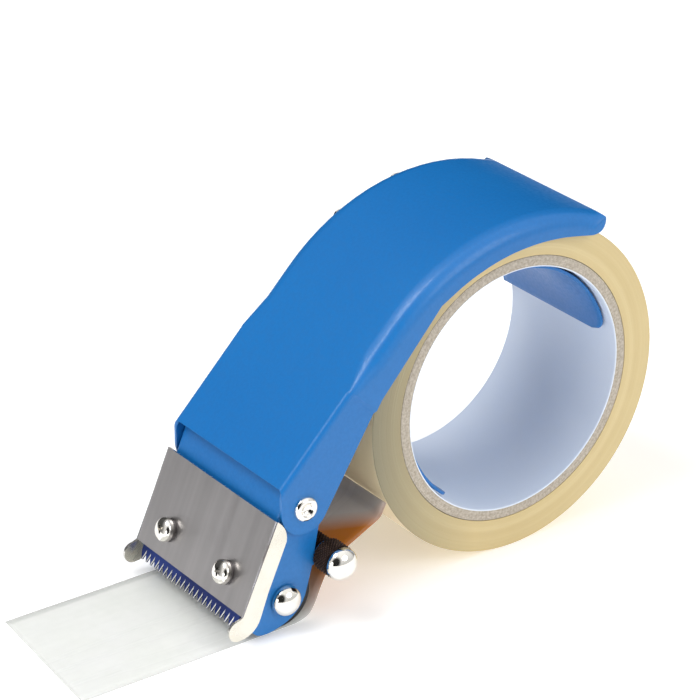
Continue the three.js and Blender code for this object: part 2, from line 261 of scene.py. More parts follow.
# %% [markdown]
# ## Brushed and plated steel
# The cover is brushed up and down, so its grain is a noise squeezed across and stretched along
# the face. The mapping is turned by the face's lean first. The caps and screws are nickel plated:
# nearly a mirror, with a trace of haze. Both have handling marks too faint to notice one by one.

# %% Steel finishes
FACE_LEAN = math.radians(23.5)


def brushed_steel():
    finish = Finish("brushed_steel", Metallic=1.0, Anisotropic=0.3)
    grain = finish.noise(1.0, 3.0, finish.mapped((1500, 60, 14), (FACE_LEAN, 0, 0)))
    streak = finish.noise(1.0, 2.0, finish.mapped((240, 10, 5), (FACE_LEAN, 0, 0)))
    cloud = finish.spread(finish.noise(55.0, 2.0), 0.3, 0.7, 0.0, 1.0)
    tone = finish.blend(finish.spread(streak, 0.3, 0.7, 0, 1), colour("A9A6A6"), colour("B7B4B4"))
    tone = finish.blend(cloud * 0.3, tone, colour("9D9A9B"))
    finish.set(Base_Color=tone, Roughness=finish.spread(grain + cloud * 0.3, 0.3, 1.0, 0.30, 0.44))
    return finish.bump(grain, 0.00002, 0.35).material


def nickel_plate():
    finish = Finish("nickel_plate", Metallic=1.0)
    haze = finish.spread(finish.noise(300.0, 2.0), 0.35, 0.7, 0.0, 1.0)
    finish.set(Base_Color=finish.blend(haze, colour("F3F0EA"), colour("E6E2DA")),
               Roughness=finish.spread(haze, 0, 1, 0.06, 0.12))
    return finish.bump(finish.noise(160.0, 1.0), 0.00004, 0.15).material


def polished_edge():
    finish = Finish("polished_flange", Metallic=0.85)
    haze = finish.spread(finish.noise(120.0, 3.0), 0.35, 0.7, 0.0, 1.0)
    finish.set(Base_Color=finish.blend(haze, colour("E6E2D6"), colour("DCD7C9")),
               Roughness=finish.spread(haze, 0, 1, 0.22, 0.3))
    return finish.bump(finish.noise(500.0, 1.0), 0.00002, 0.2).material


def spring_steel():
    finish = Finish("spring_steel", Metallic=1.0)
    tint = finish.spread(finish.noise(90.0, 3.0), 0.35, 0.65, 0.0, 1.0)
    finish.set(Base_Color=finish.blend(tint, colour("8E8E92"), colour("6F6A68")),
               Roughness=finish.spread(tint, 0, 1, 0.25, 0.4))
    return finish.bump(finish.noise(1400.0, 2.0), 0.00002, 0.3).material


# Painted reflection: the blade is plain steel, and this navy base colour paints in the reflection of the
# blue bracket.
def painted_navy_reflection_steel():
    finish = Finish("painted_navy_reflection_steel", Metallic=0.75)
    grain = finish.noise(1.0, 3.0, finish.mapped((30, 900, 900)))
    tint = finish.spread(finish.noise(70.0, 2.0), 0.35, 0.65, 0.0, 1.0)
    finish.set(Base_Color=finish.blend(tint, colour("2A3F86"), colour("22306B")),
               Roughness=finish.spread(grain, 0.3, 0.7, 0.28, 0.42))
    return finish.bump(grain, 0.00002, 0.3).material


def ground_steel():
    finish = Finish("ground_bevel", Metallic=1.0)
    grain = finish.noise(1.0, 2.0, finish.mapped((1200, 200, 200)))
    finish.set(Base_Color=finish.blend(grain, colour("EDEBE6"), colour("C9C7C4")),
               Roughness=finish.spread(grain, 0.3, 0.7, 0.18, 0.3))
    return finish.bump(grain, 0.00001, 0.3).material


BRUSHED, NICKEL, FLANGE = brushed_steel(), nickel_plate(), polished_edge()
SPRING, PAINTED_NAVY_REFLECTION, GROUND = spring_steel(), painted_navy_reflection_steel(), ground_steel()
print("made six steel finishes")

# %% [markdown]
# ## Rubber and the blackened knurl
# The press roller's rubber is matt black and turned on a lathe, so its bump runs in rings. The
# knurl is blackened steel whose points have been rubbed bright by thumbs: the distance from the
# roller's axis tells a point from a groove, and so picks the colour.

# %% Rubber and knurl
KNOB_RADIUS = 5.2 * MM


def black_rubber():
    finish = Finish("black_rubber", Specular_IOR_Level=0.4)
    dust = finish.spread(finish.noise(260.0, 4.0), 0.45, 0.8, 0.0, 1.0)
    rings = finish.noise(1.0, 2.0, finish.mapped((1800, 20, 20)))
    finish.set(Base_Color=finish.blend(dust * 0.5, colour("1B191A"), colour("3A3634")),
               Roughness=finish.spread(dust, 0, 1, 0.55, 0.75))
    return finish.bump(rings, 0.00005, 0.4).material


def blackened_knurl():
    finish = Finish("blackened_knurl", Metallic=0.7)
    high = finish.spread(finish.radius_from(GUIDE), KNOB_RADIUS - 0.12 * MM, KNOB_RADIUS, 0.0, 1.0)
    wear = high * finish.spread(finish.noise(500.0, 2.0), 0.35, 0.6, 0.3, 1.0)
    finish.set(Base_Color=finish.blend(wear, colour("2A1A14"), colour("8A7463")),
               Roughness=finish.spread(wear, 0, 1, 0.5, 0.25))
    return finish.bump(finish.noise(1600.0, 2.0), 0.00002, 0.3).material


RUBBER, KNURL = black_rubber(), blackened_knurl()
print("made", RUBBER.name, "and", KNURL.name)

# %% [markdown]
# ## Board, wound tape and film
# A tape core is a spiral of grey board with a white liner, and its cut ends show fibres. A roll of
# clear film looks amber because light passes hundreds of turns, and its end faces show fine rings
# where turns sit a hair proud. The roll's end faces are also painted darker towards the head as
# painted shade, and its outer face is painted lighter with a faint glow as painted light. A single
# layer of the same film is almost colourless. Where it hangs beside the roll it is given a painted
# amber tint and a faint painted glow for the roll's amber light, so its tint follows its place.

# %% Board, wound tape and film
CORE_BORE = 38.0 * MM


def core_board():
    finish = Finish("core_board")
    radius = finish.radius_from(ROLL)
    fibre = finish.noise(1300.0, 4.0)
    plies = finish.noise(1.0, 1.0, finish.node(
        "ShaderNodeCombineXYZ", sockets={"X": radius * 2600.0}))
    board = finish.blend(finish.spread(fibre, 0.35, 0.65, 0, 1), colour("A89D8D"), colour("C9C0B2"))
    board = finish.blend(finish.spread(plies, 0.4, 0.7, 0, 0.45), board, colour("94897C"))
    shade = finish.spread(finish.noise(30.0, 2.0), 0.3, 0.7, 0.0, 1.0)
    liner = finish.blend(shade, colour("E6EDF8"), colour("DDE7F5"))
    inside = radius < CORE_BORE + 0.4 * MM
    finish.set(Base_Color=finish.blend(inside, board, liner), Roughness=0.75 - inside * 0.25)
    return finish.bump(fibre * (1.0 - inside * 0.85), 0.00012, 0.6).material


def wound_tape():
    finish = Finish("wound_tape", IOR=1.5, Coat_Roughness=0.15, Specular_IOR_Level=0.5)
    radius = finish.radius_from(ROLL)
    rings = finish.noise(1.0, 3.0, finish.node("ShaderNodeCombineXYZ", sockets={"X": radius * 3000.0}))
    bands = finish.noise(1.0, 1.0, finish.node("ShaderNodeCombineXYZ", sockets={"X": radius * 420.0}))
    cloud = finish.spread(finish.noise(24.0, 2.0), 0.3, 0.7, 0.0, 1.0)
    tone = finish.blend(cloud, colour("D3BE8A"), colour("CDB782"))
    tone = finish.blend(finish.spread(rings, 0.35, 0.7, 0, 0.4), tone, colour("C8B078"))
    tone = finish.blend(finish.spread(bands, 0.4, 0.7, 0, 0.35), tone, colour("E3D2A0"))
    # Painted shade: the end faces are painted darker towards the head, from 14 mm to 50 mm in front of the
    # axis, where the handle shades the roll.
    depth = finish.spread(finish.along("Y") - ROLL.y, -50 * MM, -14 * MM, 0.9, 0.0)
    tone = finish.blend(depth, tone, colour("78735C"))
    # Painted light: the roll's outer face is painted lighter and glows faintly, standing in for light
    # passing through the translucent turns.
    rim = finish.spread(radius, ROLL_RADIUS - 0.06 * MM, ROLL_RADIUS - 0.02 * MM, 0.0, 0.8)
    finish.set(Base_Color=finish.blend(rim, tone, colour("F1E6C4")),
               Emission_Color=finish.blend(rim, colour("000000"), colour("E0BE84")), Emission_Strength=0.16,
               Roughness=finish.spread(rings, 0.3, 0.7, 0.28, 0.42), Coat_Weight=0.3)
    return finish.bump(rings + 0.2 * finish.noise(900.0, 2.0), 0.00005, 0.5).material


def clear_film():
    finish = Finish("clear_film", IOR=1.49, Coat_Roughness=0.08, Specular_IOR_Level=0.5)
    milk = finish.spread(finish.noise(45.0, 4.0), 0.3, 0.75, 0.0, 1.0)
    streak = finish.noise(1.0, 2.0, finish.mapped((180, 6, 6)))
    low = finish.spread(finish.along("Z"), 0.5 * MM, 14 * MM, 0.0, 1.0)
    # Painted light: the hanging film is given an amber tint and a faint amber glow for the roll's amber
    # light. Both are stronger towards the guide roller and the right-hand side, and whitish towards the
    # crease. The flat tail stays plain.
    toward_guide = (at(0, -48.6, 0).y - finish.along("Y")) / (6 * MM)
    painted_amber_light = finish.spread((finish.along("X") - 19 * MM) / (8 * MM) + toward_guide, 0.0, 1.3, 0.12, 1.0)
    flat = finish.blend(milk, colour("F3F5F0"), colour("FAFBF9"))
    hanging_painted_tint = finish.blend(painted_amber_light, colour("DEDDD8"), colour("C4701C"))
    painted_amber_glow = finish.blend(painted_amber_light, colour("B9B7B0"), colour("E0902E"))
    finish.set(Base_Color=finish.blend(low, flat, hanging_painted_tint),
               Emission_Color=finish.blend(low, colour("000000"), painted_amber_glow), Emission_Strength=0.08,
               Roughness=finish.spread(streak, 0.3, 0.7, 0.16, 0.3), Coat_Weight=0.4,
               Alpha=finish.spread(milk + streak, 0.5, 1.5, 0.52, 0.66) + low * 0.3)
    return finish.bump(streak, 0.00004, 0.4).material


BOARD, WOUND, FILM = core_board(), wound_tape(), clear_film()
print("made", BOARD.name, WOUND.name, "and", FILM.name)

# %% [markdown]
# ## Turning pieces on a lathe
# Most of the small pieces are round, so one helper turns them. It draws half of the section as a
# chain of points, spins it about the X axis and welds the seam. Screws stand on a leaning face, so
# a finished turning can be tipped over before it is put in place.

# %% Lathe helper


def new_piece(name, bm, materials, smooth=True):
    """Makes an object from a bmesh, which is used up."""
    mesh = bpy.data.meshes.new(name)
    bm.to_mesh(mesh)
    bm.free()
    for material in materials:
        mesh.materials.append(material)
    for polygon in mesh.polygons:
        polygon.use_smooth = smooth
    piece = bpy.data.objects.new(name, mesh)
    bpy.context.scene.collection.objects.link(piece)
    return piece


def spun(section, steps, sweep=2 * math.pi):
    """A bmesh turned about X; section is a chain of (x, radius) in millimetres."""
    bm = bmesh.new()
    chain = [bm.verts.new((x * MM, 0, r * MM)) for x, r in section]
    edges = [bm.edges.new(pair) for pair in zip(chain, chain[1:])]
    whole = abs(sweep - 2 * math.pi) < 1e-6
    bmesh.ops.spin(bm, geom=chain + edges, cent=(0, 0, 0), axis=(1, 0, 0), dvec=(0, 0, 0),
                   angle=sweep, steps=steps, use_merge=whole, use_duplicate=False)
    bmesh.ops.remove_doubles(bm, verts=bm.verts, dist=1e-7)
    if not whole:
        bmesh.ops.holes_fill(bm, edges=bm.edges, sides=0)
    bmesh.ops.recalc_face_normals(bm, faces=bm.faces)
    return bm


def sharpen(bm, degrees):
    """Keeps a crisp line wherever two faces meet at more than an angle."""
    for edge in bm.edges:
        if len(edge.link_faces) == 2 and edge.calc_face_angle(0.0) > math.radians(degrees):
            edge.smooth = False


def turned(name, section, centre, material, body, replaced, steps=64, crisp=35):
    """A turned piece that rides on a body and takes the place of one node."""
    bm = spun(section, steps)
    bmesh.ops.translate(bm, verts=bm.verts, vec=(0, centre.y, centre.z))
    sharpen(bm, crisp)
    piece = new_piece(name, bm, [material])
    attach(piece, body)
    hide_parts(replaced)


def rounded(section, radius, steps=4):
    """Rounds every corner of a closed section; radius is in millimetres."""
    out = []
    count = len(section)
    for i, here in enumerate(section):
        corner = Vector(here)
        before = Vector(section[i - 1]) - corner
        after = Vector(section[(i + 1) % count]) - corner
        reach = min(radius, before.length / 2.2, after.length / 2.2)
        start = corner + before.normalized() * reach
        end = corner + after.normalized() * reach
        for k in range(steps + 1):
            t = k / steps
            point = start * (1 - t) ** 2 + corner * 2 * t * (1 - t) + end * t * t
            out.append(tuple(point))
    return out + [out[0]]


print("lathe ready")

# %% [markdown]
# ## The roll of tape
# The board core is a plain tube with slightly crushed edges. The tape around it is wound under
# tension, so its end faces aren't quite flat: every few turns sit a hundredth of a millimetre in
# or out. The section is drawn with that ripple, so that it catches light as rings.

# %% Core and wound tape
HALF_TAPE = 24.75
CORE_OUTER = 41.5

core_inner = CORE_BORE / MM
core_section = rounded([(-HALF_TAPE, core_inner), (-HALF_TAPE, CORE_OUTER), (HALF_TAPE, CORE_OUTER),
                        (HALF_TAPE, core_inner)], 0.35)
turned("paper_core_tube", core_section, ROLL, BOARD, "tape_roll", "paper_core", steps=192, crisp=60)


def tape_section():
    turns = 46
    inner, outer = CORE_OUTER + 0.12, ROLL_RADIUS / MM
    radii = [inner + (outer - 0.25 - inner) * i / turns for i in range(turns + 1)]
    face = [(HALF_TAPE - 0.06 + random.uniform(-0.035, 0.035), r) for r in radii]
    rim = [(HALF_TAPE - 0.12, outer - 0.08), (HALF_TAPE - 0.3, outer)]
    half = face + rim
    return half + [(-x, r) for x, r in reversed(half)] + [half[0]]


turned("tape_winding", tape_section(), ROLL, WOUND, "tape_roll", "tape_wound", steps=192, crisp=50)
print("roll is %.1f mm across" % (2 * ROLL_RADIUS / MM))

# %% [markdown]
# ## Bent sheet pieces
# A folded bracket starts as a flat outline. The outline is read from the engineer's model by
# slicing its side wall, extruded across the dispenser into a closed block, and then stripped of
# the faces that the real part lacks. What is left is one skin: a bevel turns its sharp folds into
# bends, Solidify gives it the sheet's thickness and a second small bevel breaks the cut edges.

# %% Outline of a side wall


def side_outline(node, x):
    """The longest closed outline that a lengthwise cut at x shows, as (y, z) pairs in metres."""
    bm = bmesh.new()
    bm.from_mesh(nodes[node].data)
    bmesh.ops.remove_doubles(bm, verts=bm.verts, dist=1e-6)
    bmesh.ops.bisect_plane(bm, geom=bm.verts[:] + bm.edges[:] + bm.faces[:], dist=1e-7,
                           plane_co=(x, 0, 0), plane_no=(1, 0, 0), clear_inner=True, clear_outer=True)
    bmesh.ops.remove_doubles(bm, verts=bm.verts, dist=1e-6)
    loops = []
    unused = set(bm.verts)
    while unused:
        vert = min(unused, key=lambda v: (v.co.y, v.co.z))
        loop = []
        while vert is not None:
            unused.discard(vert)
            loop.append((vert.co.y, vert.co.z))
            ahead = [e.other_vert(vert) for e in vert.link_edges if e.other_vert(vert) in unused]
            vert = ahead[0] if ahead else None
        loops.append(loop)
    bm.free()
    longest = max(loops, key=lambda loop: max(p[1] for p in loop) - min(p[1] for p in loop))
    return straightened(longest)


def straightened(loop):
    """Drops points that lie on a straight line between their neighbours."""
    kept = []
    for i, point in enumerate(loop):
        before = Vector(point) - Vector(loop[i - 1])
        after = Vector(loop[(i + 1) % len(loop)]) - Vector(point)
        if abs(before.angle_signed(after, 0.0)) > math.radians(0.4):
            kept.append(point)
    return kept


def sheet_block(outline, half_width):
    """A closed block: an outline of (y, z) pairs extruded from one side to the other."""
    bm = bmesh.new()
    side = bm.faces.new([bm.verts.new((half_width, y, z)) for y, z in outline])
    far = bmesh.ops.extrude_face_region(bm, geom=[side], use_keep_orig=True)["geom"]
    moved = [v for v in far if isinstance(v, bmesh.types.BMVert)]
    bmesh.ops.translate(bm, verts=moved, vec=(-2 * half_width, 0, 0))
    bmesh.ops.recalc_face_normals(bm, faces=bm.faces)
    return bm


def keep_walls(bm, wanted):
    """Deletes the cross faces that the real sheet part lacks."""
    spare = [f for f in bm.faces if abs(f.normal.x) < 0.5 and not wanted(f)]
    bmesh.ops.delete(bm, geom=spare, context="FACES")


def round_folds(bm, radius, segments):
    folds = [e for e in bm.edges if len(e.link_faces) == 2
             and e.calc_face_angle(0.0) > math.radians(60)]
    bmesh.ops.bevel(bm, geom=folds, affect="EDGES", offset=radius, offset_type="OFFSET",
                    segments=segments, profile=0.5, material=-1, clamp_overlap=False)


def thicken(piece, thickness, edge):
    """Gives a skin its thickness inwards, breaks its cut edges and evens out the shading."""
    wall = piece.modifiers.new("wall", "SOLIDIFY")
    wall.thickness, wall.offset, wall.use_even_offset = thickness, -1.0, True
    broken = piece.modifiers.new("broken_edges", "BEVEL")
    broken.width, broken.segments, broken.limit_method = edge, 2, "ANGLE"
    broken.angle_limit = math.radians(50)
    even = piece.modifiers.new("even_shading", "WEIGHTED_NORMAL")
    even.mode, even.weight = "FACE_AREA", 60


print("sheet helpers ready")

# %% [markdown]
# ## Handle
# The handle is one long strip folded down at both sides. It is narrower at the head, where it
# fits over the bracket, and steps outwards to clear the roll, more on the near wall than on the far
# one. Cuts across the skin mark the step, and everything behind them is moved outwards. The folds
# are tight at the head and open out over the first stretch behind the step.

# %% Handle
HANDLE_HALF = 27.5 * MM
SLOPE = math.radians(45.3)
ALONG = Vector((0, math.cos(SLOPE), math.sin(SLOPE)))
SLOPE_OUT = Vector((0, -ALONG.z, ALONG.y))
SLOPE_TOP = at(0, -45.55, 85.34)
FOLD_RADIUS = 5.0 * MM
STEP_LOW = at(0, -61.0, 68.6)
STEP_LENGTH, FADE_LENGTH = 1.1 * MM, 12 * MM
STEP_NEAR, STEP_FAR = 0.85 * MM, 0.3 * MM
TIGHT_SHARE = 0.35


def behind_step(place):
    """Distance up the slope from the lower side of the step."""
    return (place - STEP_LOW).dot(ALONG)


def tighten(vert, share):
    """Shrinks a fold's radius towards its sharp corner, on the straight front of the handle."""
    side = HANDLE_HALF - abs(vert.co.x)
    deep = (SLOPE_TOP - vert.co).dot(SLOPE_OUT)
    on_arc = 1e-6 < side < FOLD_RADIUS + 1e-6 or abs(deep - FOLD_RADIUS) < 1e-6
    if on_arc and deep < FOLD_RADIUS + 1e-6:
        vert.co.x = math.copysign(HANDLE_HALF - side * share, vert.co.x)
        lift = SLOPE_OUT * deep * (1 - share)
        at_front = vert.co.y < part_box("handle_shell")[0].y + 0.3 * MM
        vert.co += Vector((0, 0, lift.length / SLOPE_OUT.z)) if at_front else lift


def crease(mesh):
    """Keeps the step's two edges crisp on the walls."""
    for edge in mesh.edges:
        ends = [mesh.vertices[i].co for i in edge.vertices]
        low, high = sorted(behind_step(end) for end in ends)
        runs_across = high - low < 1e-6
        in_step = -1e-6 < low and high < STEP_LENGTH + 1e-6
        on_wall = min(abs(end.x) for end in ends) > HANDLE_HALF - 0.4 * MM
        edge.use_edge_sharp = runs_across and in_step and on_wall


def handle():
    bm = sheet_block(side_outline("handle_shell", HANDLE_HALF - 0.5 * MM), HANDLE_HALF)
    keep_walls(bm, lambda face: face.normal.z > 0.5)
    round_folds(bm, FOLD_RADIUS, 8)
    for distance in (0, STEP_LENGTH, 0.35 * FADE_LENGTH, 0.7 * FADE_LENGTH, FADE_LENGTH):
        bmesh.ops.bisect_plane(bm, geom=bm.verts[:] + bm.edges[:] + bm.faces[:], dist=1e-7,
                               plane_co=STEP_LOW + ALONG * distance, plane_no=ALONG)
    for vert in bm.verts:
        distance = behind_step(vert.co)
        if distance < FADE_LENGTH:
            tighten(vert, TIGHT_SHARE + (1 - TIGHT_SHARE) * max(distance, 0) / FADE_LENGTH)
        if distance > STEP_LENGTH - 1e-6 and abs(vert.co.x) > HANDLE_HALF - 0.7 * FOLD_RADIUS:
            vert.co.x += STEP_NEAR if vert.co.x > 0 else -STEP_FAR
    piece = new_piece("handle_sheet", bm, [BLUE])
    crease(piece.data)
    thicken(piece, 1.0 * MM, 0.3 * MM)
    piece.modifiers["even_shading"].keep_sharp = True
    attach(piece, "handle")
    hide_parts("handle_shell")


handle()
print("handle is %.0f mm wide at the head" % (2 * HANDLE_HALF / MM))

# %% [markdown]
# ## Hub plate
# The roll hangs on two curved tabs, bent out of a thin ring that is riveted inside the handle's
# far wall. The ring and its saddle are cut as one flat sheet. Each tab is a curved strip, spun
# about the roll's axis from the ring's plane, with its two free corners rounded off.

# %% Hub plate
TABS = [(10.5, 93.0), (145.0, 236.0)]
TAB_ROOT, TAB_END = -25.4, 21.5


def hub_ring():
    bm = bmesh.new()
    bm.from_mesh(nodes["roll_hub_plate"].data)
    bmesh.ops.remove_doubles(bm, verts=bm.verts, dist=1e-6)
    bmesh.ops.bisect_plane(bm, geom=bm.verts[:] + bm.edges[:] + bm.faces[:], dist=1e-7,
                           plane_co=((TAB_ROOT + 0.3) * MM, 0, 0), plane_no=(1, 0, 0),
                           clear_outer=True)
    bmesh.ops.holes_fill(bm, edges=[e for e in bm.edges if e.is_boundary], sides=0)
    bmesh.ops.dissolve_limit(bm, angle_limit=math.radians(1), verts=bm.verts, edges=bm.edges)
    piece = new_piece("hub_ring", bm, [BLUE], smooth=False)
    broken = piece.modifiers.new("broken_edges", "BEVEL")
    broken.width, broken.segments, broken.limit_method = 0.2 * MM, 2, "ANGLE"
    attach(piece, "handle")
    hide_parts("roll_hub_plate")


def hub_tab(number, from_deg, to_deg):
    corner, radius = 5.5, 37.3
    arc_steps, length_steps = 40, 24
    bm = bmesh.new()
    chain = [bm.verts.new(((TAB_ROOT + (TAB_END - TAB_ROOT) * i / length_steps) * MM, radius * MM, 0))
             for i in range(length_steps + 1)]
    edges = [bm.edges.new(pair) for pair in zip(chain, chain[1:])]
    bmesh.ops.spin(bm, geom=chain + edges, cent=(0, 0, 0), axis=(1, 0, 0), dvec=(0, 0, 0),
                   angle=math.radians(to_deg - from_deg), steps=arc_steps, use_merge=False)
    bmesh.ops.rotate(bm, verts=bm.verts, cent=(0, 0, 0),
                     matrix=Matrix.Rotation(math.radians(from_deg), 3, "X"))
    middle_angle = math.radians((from_deg + to_deg) / 2)
    half_arc = math.radians(to_deg - from_deg) / 2 * radius
    for vert in bm.verts:
        angle = math.atan2(vert.co.z, vert.co.y) - middle_angle
        angle = (angle + math.pi) % (2 * math.pi) - math.pi
        side = abs(angle) * radius
        over = side - (half_arc - corner)
        if over > 0:
            limit = TAB_END - corner + math.sqrt(max(corner ** 2 - over ** 2, 0))
            reach = (vert.co.x / MM - TAB_ROOT) / (TAB_END - TAB_ROOT)
            vert.co.x = (TAB_ROOT + reach * (limit - TAB_ROOT)) * MM
    bmesh.ops.remove_doubles(bm, verts=bm.verts, dist=1e-7)
    bmesh.ops.translate(bm, verts=bm.verts, vec=(0, ROLL.y, ROLL.z))
    bmesh.ops.recalc_face_normals(bm, faces=bm.faces)
    if sum(f.normal.dot(f.calc_center_median() - ROLL) for f in bm.faces) < 0:
        bmesh.ops.reverse_faces(bm, faces=bm.faces)
    piece = new_piece(f"hub_tab_{number}", bm, [BLUE])
    wall = piece.modifiers.new("wall", "SOLIDIFY")
    wall.thickness, wall.offset = 0.95 * MM, -1.0
    broken = piece.modifiers.new("broken_edges", "BEVEL")
    broken.width, broken.segments, broken.limit_method = 0.18 * MM, 2, "ANGLE"
    broken.angle_limit = math.radians(50)
    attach(piece, "handle")


hub_ring()
for number, (from_deg, to_deg) in enumerate(TABS, 1):
    hub_tab(number, from_deg, to_deg)
print("hub plate with", len(TABS), "tabs")

# %% [markdown]
# ## The leaning face of the head
# Everything at the front of the head is stacked on one leaning plane: the cover outside, then the
# blade, then the bracket's front panel. Places on it are given as across, up the face, and out of
# the face, and one matrix lays a piece that was built flat onto it.

# %% The leaning face
FACE_LOW = at(0, -98.6, 10.5)
UP = Vector((0, math.sin(FACE_LEAN), math.cos(FACE_LEAN)))
OUT = Vector((0, -math.cos(FACE_LEAN), math.sin(FACE_LEAN)))
TO_FACE = Matrix.Translation(FACE_LOW) @ Matrix((
    (1, 0, 0, 0), (0, UP.y, OUT.y, 0), (0, UP.z, OUT.z, 0), (0, 0, 0, 1)))
PANEL_DEPTH = 2.0 * MM
BLADE_DEPTH = 1.1 * MM


def on_plane(face, depth):
    """True if a face lies in the leaning plane at a depth behind the cover's outside."""
    apart = (face.calc_center_median() - FACE_LOW).dot(OUT) + depth
    return abs(apart) < 0.05 * MM and face.normal.dot(OUT) > 0.99


print("the face leans back %.1f degrees" % math.degrees(FACE_LEAN))

# %% [markdown]
# ## Head bracket and blade cover
# The bracket is the blue channel between the handle's walls. It is one folding, so it comes from the
# same helpers as the handle. The cover is brushed on its face and polished on its narrow side
# flanges, so the flanges take a second material. The bends between them take the darker spring
# steel finish, as a painted dark reflection line along each bend.

# %% Bracket and cover
BRACKET_HALF = 26.2 * MM
COVER_HALF = 28.0 * MM


def head_bracket():
    bm = sheet_block(side_outline("head_bracket", BRACKET_HALF - 0.5 * MM), BRACKET_HALF)
    keep_walls(bm, lambda face: on_plane(face, PANEL_DEPTH))
    round_folds(bm, 1.0 * MM, 4)
    piece = new_piece("head_bracket_sheet", bm, [BLUE])
    thicken(piece, 1.0 * MM, 0.25 * MM)
    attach(piece, "head")
    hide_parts("head_bracket")


def blade_cover():
    bm = sheet_block(side_outline("blade_cover", COVER_HALF - 0.4 * MM), COVER_HALF)
    keep_walls(bm, lambda face: on_plane(face, 0))
    round_folds(bm, 0.7 * MM, 4)
    # Painted reflection: bend faces take the darker spring steel finish (index 2), a painted dark line
    # along each bend; flat flanges take the polished finish.
    for face in bm.faces:
        if abs(face.normal.x) > 0.2:
            face.material_index = 1 if abs(face.normal.x) > 0.95 else 2
    piece = new_piece("blade_cover_sheet", bm, [BRUSHED, FLANGE, SPRING, GROUND])
    thicken(piece, 0.8 * MM, 0.22 * MM)
    piece.modifiers["wall"].material_offset_rim = 3
    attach(piece, "head")
    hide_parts("blade_cover")


head_bracket()
blade_cover()
print("bracket and cover folded")

# %% [markdown]
# ## Blade
# The blade is a polished steel strip with a row of pointed teeth, coloured navy as a painted
# reflection of the blue bracket. One tooth with the strip above it is drawn flat, copied along the
# row and welded. After the strip gets its thickness, one long edge of each tooth is bevelled and
# given the ground steel finish, as a grinding wheel does.

# %% Blade
TEETH, PITCH = 22, 2.3


def serrated_blade():
    root, tip, top, sheet = -2.1, -4.8, 13.5, 0.6
    start = -TEETH * PITCH / 2
    bm = bmesh.new()
    flat = [(0, top), (0, root), (PITCH * 0.45, tip), (PITCH * 0.55, tip), (PITCH, root), (PITCH, top)]
    bm.faces.new([bm.verts.new(((start + x) * MM, y * MM, 0)) for x, y in flat])
    tooth = bm.verts[:] + bm.edges[:] + bm.faces[:]
    for i in range(1, TEETH):
        copy = bmesh.ops.duplicate(bm, geom=tooth)["geom"]
        bmesh.ops.translate(bm, vec=(i * PITCH * MM, 0, 0),
                            verts=[v for v in copy if isinstance(v, bmesh.types.BMVert)])
    bmesh.ops.remove_doubles(bm, verts=bm.verts, dist=1e-6)
    back = bmesh.ops.extrude_face_region(bm, geom=bm.faces[:], use_keep_orig=True)["geom"]
    bmesh.ops.translate(bm, vec=(0, 0, -sheet * MM),
                        verts=[v for v in back if isinstance(v, bmesh.types.BMVert)])
    bmesh.ops.recalc_face_normals(bm, faces=bm.faces)
    flanks = []
    for edge in bm.edges:
        lean = edge.verts[1].co - edge.verts[0].co
        at_front = all(abs(v.co.z) < 1e-7 for v in edge.verts)
        if at_front and abs(lean.x) > 0.3 * PITCH * MM and lean.x * lean.y > 0.1 * MM * MM:
            flanks.append(edge)
    bmesh.ops.bevel(bm, geom=flanks, affect="EDGES", offset=0.5 * MM, offset_type="OFFSET",
                    segments=1, profile=0.5, material=1, clamp_overlap=True)
    bmesh.ops.transform(bm, verts=bm.verts, matrix=TO_FACE @ Matrix.Translation((0, 0, -BLADE_DEPTH)))
    piece = new_piece("serrated_blade", bm, [PAINTED_NAVY_REFLECTION, GROUND], smooth=False)
    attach(piece, "head")
    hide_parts("blade")
    print("blade has", len(flanks), "ground teeth")


serrated_blade()

# %% [markdown]
# ## Screws and lock washers
# Two pan-head screws clamp the stack, each on a split lock washer. The head is turned, and a tapered
# cross is cut out of it with a Boolean that is made permanent at once. A washer is a square
# section spun through a little less than a full turn, which leaves its split.

# %% Screws and washers
SCREW_X, SCREW_UP = 15.0, 8.3
WASHER_TOP = 1.0
SCREW_RIM = 0.9
SCREW_TOP = 3.6


def lay_on_face(bm, x):
    """Stands a piece that was turned about X on the leaning face."""
    stand = Matrix(((0, 0, -1, 0), (0, 1, 0, 0), (1, 0, 0, 0), (0, 0, 0, 1)))
    place = TO_FACE @ Matrix.Translation((x * MM, SCREW_UP * MM, 0)) @ stand
    bmesh.ops.transform(bm, verts=bm.verts, matrix=place)


def subtract(piece, bm):
    """Cuts a bmesh out of a piece for good."""
    cutter = new_piece("cutter", bm, [])
    hole = piece.modifiers.new("hole", "BOOLEAN")
    hole.operation, hole.solver, hole.use_self, hole.object = "DIFFERENCE", "EXACT", True, cutter
    result = bpy.data.meshes.new_from_object(piece.evaluated_get(bpy.context.evaluated_depsgraph_get()))
    piece.modifiers.clear()
    piece.data = result
    bpy.data.objects.remove(cutter)


def cross_cutter(turn):
    bm = bmesh.new()
    for quarter in (0, math.pi / 2):
        bar = bmesh.ops.create_cube(bm, size=1.0)["verts"]
        bmesh.ops.scale(bm, verts=bar, vec=(2.4 * MM, 0.85 * MM, 3.6 * MM))
        for vert in bar:
            if vert.co.x < 0:
                vert.co.y *= 0.6
                vert.co.z *= 0.45
        bmesh.ops.rotate(bm, verts=bar, cent=(0, 0, 0), matrix=Matrix.Rotation(quarter + turn, 3, "X"))
    bmesh.ops.translate(bm, verts=bm.verts, vec=(SCREW_TOP * MM, 0, 0))
    return bm


def pan_head():
    side, radius, flatness = WASHER_TOP + SCREW_RIM, 3.6, 0.62
    crown = SCREW_TOP - side
    arc = [(side + crown * math.sin(math.radians(a)), radius * math.cos(math.radians(a)) ** flatness)
           for a in range(0, 90, 6)]
    return [(-1.0, 0), (-1.0, 1.7), (WASHER_TOP, 1.7), (WASHER_TOP, radius - 0.15),
            (WASHER_TOP + 0.15, radius), *arc, (SCREW_TOP, 0)]


